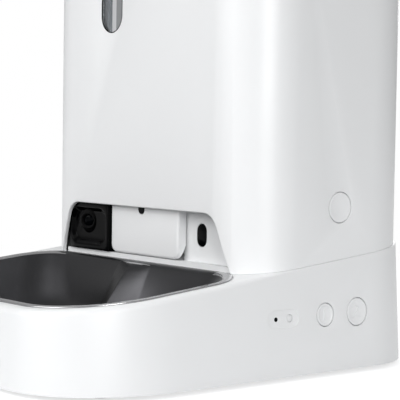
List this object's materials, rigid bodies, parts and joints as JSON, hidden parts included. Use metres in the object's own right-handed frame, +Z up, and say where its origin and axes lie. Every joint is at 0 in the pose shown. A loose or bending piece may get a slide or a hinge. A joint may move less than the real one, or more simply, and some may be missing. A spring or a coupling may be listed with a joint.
{
  "type": "camera pet feeder",
  "caption": "White dry-food dispenser for pets: tower with hoppers and camera recess on a sloping base with a lift-out steel bowl, hinged lid, side buttons and a battery bay.",
  "frame": {"origin": "on the floor under the centre of the base's outline", "axes": "+Z up, -Y out of the front with the bowl, +X to the side with the feed buttons"},
  "size_m": [0.256, 0.3168, 0.33],
  "materials": {
    "shell_white": "white moulded plastic, satin to semi-gloss",
    "inner_white": "white moulded plastic, fine matt texture",
    "inner_grey": "grey moulded plastic, matt",
    "black_gloss": "polished black, passes infrared light",
    "black_matt": "matt black",
    "lens_glass": "coated dark camera glass",
    "board_green": "green circuit board lacquer",
    "foot_rubber": "pale grey rubber",
    "plain_steel": "plain steel",
    "cell_skin": "bare dark sleeve",
    "clear_plastic": "clear, smoky, polished",
    "gear_plastic": "natural acetal",
    "silicone": "translucent white silicone",
    "bowl_steel": "drawn steel with a dark polished surface"
  },
  "bodies": {
    "base": {"base_shell": "shell_white", "bottom_cover": "inner_white", "bowl_well": "inner_white", "core_housing": "inner_white", "chute": "inner_white", "camera_bezel": "black_gloss", "camera_barrel": "black_matt", "camera_lens": "lens_glass", "food_sensor_window": "black_gloss", "main_board": "board_green", "button_board": "board_green", "speaker": "black_matt", "power_inlet": "black_matt", "drive_frame": "inner_grey", "foot_front_right": "foot_rubber", "foot_front_left": "foot_rubber", "foot_rear_right": "foot_rubber", "foot_rear_left": "foot_rubber", "cover_screw_1": "plain_steel", "cover_screw_2": "plain_steel", "cover_screw_3": "plain_steel", "cover_screw_4": "plain_steel", "battery_cell_1": "cell_skin", "battery_cell_2": "cell_skin", "battery_cell_3": "cell_skin", "battery_cell_4": "cell_skin", "indicator_lens": "clear_plastic", "microphone": "black_matt", "gear_motor_left": "plain_steel", "gear_motor_right": "plain_steel"},
    "bowl": {"bowl": "bowl_steel"},
    "chute_flap": {"chute_flap": "shell_white", "flap_sensor_window": "black_gloss"},
    "battery_door": {"battery_door": "inner_white"},
    "feed_button_1": {"feed_button_1": "shell_white"},
    "feed_button_2": {"feed_button_2": "shell_white"},
    "drive_gear_left": {"drive_gear_left": "gear_plastic"},
    "drive_gear_right": {"drive_gear_right": "gear_plastic"},
    "motor_pinion_left": {"motor_pinion_left": "gear_plastic"},
    "motor_pinion_right": {"motor_pinion_right": "gear_plastic"},
    "tower": {"tower_shell": "shell_white", "level_window": "clear_plastic", "drum_plate": "inner_grey", "top_frame": "shell_white", "hopper_left": "clear_plastic", "hopper_right": "clear_plastic", "baffle_left": "silicone", "baffle_right": "silicone", "hinge_pin": "plain_steel"},
    "rotor_left": {"rotor_left": "silicone"},
    "rotor_right": {"rotor_right": "silicone"},
    "release_button_left": {"release_button_left": "shell_white"},
    "release_button_right": {"release_button_right": "shell_white"},
    "lid": {"lid": "shell_white", "lid_liner": "inner_white", "lid_seal_left": "silicone", "lid_seal_right": "silicone"},
    "lid_latch": {"lid_latch": "shell_white"},
    "desiccant_box": {"desiccant_box": "inner_white"}
  },
  "joints": [
    {"name": "tower_lift", "type": "slide", "parent": "base", "child": "tower", "axis": [0, 0, 1], "range_m": [0, 0.08]},
    {"name": "bowl_lift", "type": "slide", "parent": "base", "child": "bowl", "axis": [0, -0.4226, 0.9063], "range_m": [0, 0.06]},
    {"name": "lid_hinge", "type": "hinge", "parent": "tower", "child": "lid", "pos_m": [0, 0.1365, 0.324], "axis": [-1, 0, 0], "range_deg": [0, 90]},
    {"name": "lid_latch_press", "type": "slide", "parent": "lid", "child": "lid_latch", "axis": [0, 1, 0], "range_m": [0, 0.002], "stiffness_N_per_m": 600},
    {"name": "desiccant_twist", "type": "hinge", "parent": "lid", "child": "desiccant_box", "pos_m": [-0.0335, 0.0605, 0.32], "axis": [0, 0, 1], "range_deg": [0, 30]},
    {"name": "chute_flap_swing", "type": "hinge", "parent": "base", "child": "chute_flap", "pos_m": [0, -0.0045, 0.1126], "axis": [-1, 0, 0], "range_deg": [0, 30]},
    {"name": "battery_door_hinge", "type": "hinge", "parent": "base", "child": "battery_door", "pos_m": [0, 0.0771, 0.0045], "axis": [-1, 0, 0], "range_deg": [0, 75]},
    {"name": "feed_button_1_press", "type": "slide", "parent": "base", "child": "feed_button_1", "axis": [-0.9988, 0, -0.0484], "range_m": [0, 0.0012], "stiffness_N_per_m": 400},
    {"name": "feed_button_2_press", "type": "slide", "parent": "base", "child": "feed_button_2", "axis": [-0.9988, 0, -0.0484], "range_m": [0, 0.0012], "stiffness_N_per_m": 400},
    {"name": "release_left_press", "type": "slide", "parent": "tower", "child": "release_button_left", "axis": [1, 0, 0], "range_m": [0, 0.003], "stiffness_N_per_m": 500},
    {"name": "release_right_press", "type": "slide", "parent": "tower", "child": "release_button_right", "axis": [-1, 0, 0], "range_m": [0, 0.003], "stiffness_N_per_m": 500},
    {"name": "rotor_left_spin", "type": "hinge", "parent": "tower", "child": "rotor_left", "pos_m": [-0.05, 0.0645, 0.134], "axis": [0, 0, 1], "continuous": true},
    {"name": "drive_left_spin", "type": "hinge", "parent": "base", "child": "drive_gear_left", "pos_m": [-0.05, 0.0645, 0.092], "axis": [0, 0, 1], "continuous": true},
    {"name": "pinion_left_spin", "type": "hinge", "parent": "base", "child": "motor_pinion_left", "pos_m": [-0.07348, 0.08219, 0.092], "axis": [0, 0, 1], "continuous": true},
    {"name": "rotor_right_spin", "type": "hinge", "parent": "tower", "child": "rotor_right", "pos_m": [0.05, 0.0645, 0.134], "axis": [0, 0, 1], "continuous": true},
    {"name": "drive_right_spin", "type": "hinge", "parent": "base", "child": "drive_gear_right", "pos_m": [0.05, 0.0645, 0.092], "axis": [0, 0, 1], "continuous": true},
    {"name": "pinion_right_spin", "type": "hinge", "parent": "base", "child": "motor_pinion_right", "pos_m": [0.07348, 0.08219, 0.092], "axis": [0, 0, 1], "continuous": true}
  ],
  "couplings": [
    {"joint": "drive_left_spin", "follows": "rotor_left_spin", "ratio": 1},
    {"joint": "pinion_left_spin", "follows": "rotor_left_spin", "ratio": -2.5},
    {"joint": "drive_right_spin", "follows": "rotor_right_spin", "ratio": 1},
    {"joint": "pinion_right_spin", "follows": "rotor_right_spin", "ratio": -2.5}
  ]
}
